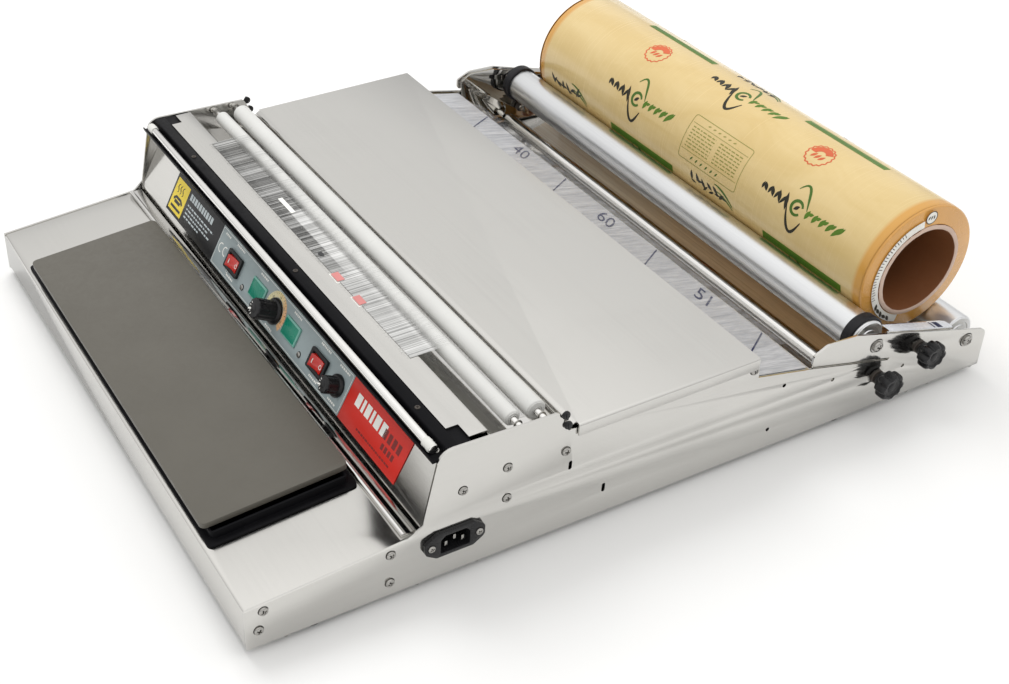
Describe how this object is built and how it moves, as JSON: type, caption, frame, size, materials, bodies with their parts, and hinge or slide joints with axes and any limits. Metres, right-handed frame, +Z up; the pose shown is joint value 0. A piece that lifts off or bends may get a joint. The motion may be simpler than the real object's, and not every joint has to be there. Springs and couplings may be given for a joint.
{
  "type": "cling film wrapping machine",
  "caption": "Bench-top machine for wrapping trays in cling film: hot plate, sloping control face, cutting rod, guide rollers, work table and a film roll in a roller cradle.",
  "frame": {"origin": "centre of the footprint on the bench", "axes": "+X to the operator's right (mains inlet side), +Y from the operator towards the film roll, +Z up"},
  "size_m": [0.584, 0.695, 0.1632],
  "materials": {
    "brushed_steel": "brushed stainless sheet",
    "polished_steel": "mirror polished stainless",
    "coated_plate": "dark non-stick coating, satin",
    "black_sheet": "heat-proof black coating",
    "mica": "mica heating mat",
    "decal_grey": "printed polyester overlay",
    "label_black": "printed label",
    "label_red": "printed label",
    "black_plastic": "moulded black plastic",
    "red_lamp": "clear red switch button",
    "green_lamp": "green window",
    "white_plastic": "white plastic",
    "iron": "varnished laminations",
    "satin_aluminium": "satin anodised tube",
    "rubber": "black rubber",
    "film": "wound cling film, cream to amber",
    "cardboard": "spiral wound paper board"
  },
  "bodies": {
    "base": {"side_panel_right": "brushed_steel", "side_panel_left": "brushed_steel", "base_plate": "brushed_steel", "front_platform": "brushed_steel", "table_top": "brushed_steel", "control_panel": "brushed_steel", "film_rest": "brushed_steel", "roll_guide_right": "brushed_steel", "roll_guide_left": "brushed_steel", "film_deck": "polished_steel", "mirror_strip": "polished_steel", "cutter_rod": "polished_steel", "guide_shaft_front": "polished_steel", "guide_shaft_rear": "polished_steel", "support_shaft_front": "polished_steel", "support_shaft_rear": "polished_steel", "guide_tube_shaft": "polished_steel", "hot_plate": "coated_plate", "heater_tray": "black_sheet", "cutter_insulator": "black_sheet", "heater_element": "mica", "face_decal": "decal_grey", "info_label": "label_black", "maker_label": "label_red", "rocker_housing_1": "black_plastic", "rocker_housing_2": "black_plastic", "mains_inlet": "black_plastic", "lamp_window_1": "green_lamp", "lamp_window_2": "green_lamp", "thermostat_body": "white_plastic", "regulator_body": "iron", "transformer": "iron", "foot_left_1": "rubber", "foot_left_2": "rubber", "foot_right_1": "rubber", "foot_right_2": "rubber"},
    "rocker_1": {"rocker_1": "red_lamp"},
    "rocker_2": {"rocker_2": "red_lamp"},
    "thermostat_knob": {"thermostat_knob": "black_plastic"},
    "regulator_knob": {"regulator_knob": "black_plastic"},
    "guide_roller_front": {"guide_roller_front": "white_plastic"},
    "guide_roller_rear": {"guide_roller_rear": "white_plastic"},
    "film_roll": {"film_wrap": "film", "film_core": "cardboard"},
    "support_roller_front": {"support_roller_front": "satin_aluminium", "grip_ring_left": "rubber", "grip_ring_right": "rubber"},
    "support_roller_rear": {"support_roller_rear": "satin_aluminium"},
    "guide_tube": {"guide_tube": "polished_steel"},
    "clamp_left_1": {"clamp_knob_left_1": "black_plastic", "clamp_stud_left_1": "polished_steel"},
    "clamp_left_2": {"clamp_knob_left_2": "black_plastic", "clamp_stud_left_2": "polished_steel"},
    "clamp_right_1": {"clamp_knob_right_1": "black_plastic", "clamp_stud_right_1": "polished_steel"},
    "clamp_right_2": {"clamp_knob_right_2": "black_plastic", "clamp_stud_right_2": "polished_steel"}
  },
  "joints": [
    {"name": "rocker_1_tilt", "type": "hinge", "parent": "base", "child": "rocker_1", "pos_m": [-0.072, -0.19416, 0.0779], "axis": [0, 0.4587, 0.8886], "range_deg": [-20, 0]},
    {"name": "rocker_2_tilt", "type": "hinge", "parent": "base", "child": "rocker_2", "pos_m": [0.09, -0.19416, 0.0779], "axis": [0, 0.4587, 0.8886], "range_deg": [-20, 0]},
    {"name": "thermostat_knob_turn", "type": "hinge", "parent": "base", "child": "thermostat_knob", "pos_m": [0.009, -0.20216, 0.08202], "axis": [0, -0.8886, 0.4587], "range_deg": [-280, 0]},
    {"name": "regulator_knob_turn", "type": "hinge", "parent": "base", "child": "regulator_knob", "pos_m": [0.122, -0.20216, 0.08202], "axis": [0, -0.8886, 0.4587], "range_deg": [-300, 0]},
    {"name": "guide_roller_front_spin", "type": "hinge", "parent": "base", "child": "guide_roller_front", "pos_m": [0, -0.1275, 0.119], "axis": [1, 0, 0], "continuous": true},
    {"name": "guide_roller_rear_spin", "type": "hinge", "parent": "base", "child": "guide_roller_rear", "pos_m": [0, -0.1075, 0.119], "axis": [1, 0, 0], "continuous": true},
    {"name": "guide_tube_spin", "type": "hinge", "parent": "base", "child": "guide_tube", "pos_m": [0, 0.2069, 0.0288], "axis": [1, 0, 0], "continuous": true},
    {"name": "film_roll_spin", "type": "hinge", "parent": "base", "child": "film_roll", "pos_m": [0, 0.28314, 0.10416], "axis": [1, 0, 0], "continuous": true},
    {"name": "support_roller_front_spin", "type": "hinge", "parent": "base", "child": "support_roller_front", "pos_m": [0, 0.2145, 0.072], "axis": [1, 0, 0], "continuous": true},
    {"name": "support_roller_rear_spin", "type": "hinge", "parent": "base", "child": "support_roller_rear", "pos_m": [0, 0.3235, 0.04], "axis": [1, 0, 0], "continuous": true},
    {"name": "clamp_left_1_turn", "type": "hinge", "parent": "base", "child": "clamp_left_1", "pos_m": [-0.285, 0.2245, 0.037], "axis": [-1, 0, 0], "range_deg": [0, 720]},
    {"name": "clamp_left_2_turn", "type": "hinge", "parent": "base", "child": "clamp_left_2", "pos_m": [-0.285, 0.2665, 0.053], "axis": [-1, 0, 0], "range_deg": [0, 720]},
    {"name": "clamp_right_1_turn", "type": "hinge", "parent": "base", "child": "clamp_right_1", "pos_m": [0.285, 0.2245, 0.037], "axis": [1, 0, 0], "range_deg": [0, 720]},
    {"name": "clamp_right_2_turn", "type": "hinge", "parent": "base", "child": "clamp_right_2", "pos_m": [0.285, 0.2665, 0.053], "axis": [1, 0, 0], "range_deg": [0, 720]}
  ],
  "couplings": [
    {"joint": "support_roller_front_spin", "follows": "film_roll_spin", "ratio": -3.5758},
    {"joint": "support_roller_rear_spin", "follows": "film_roll_spin", "ratio": -3.5758}
  ]
}
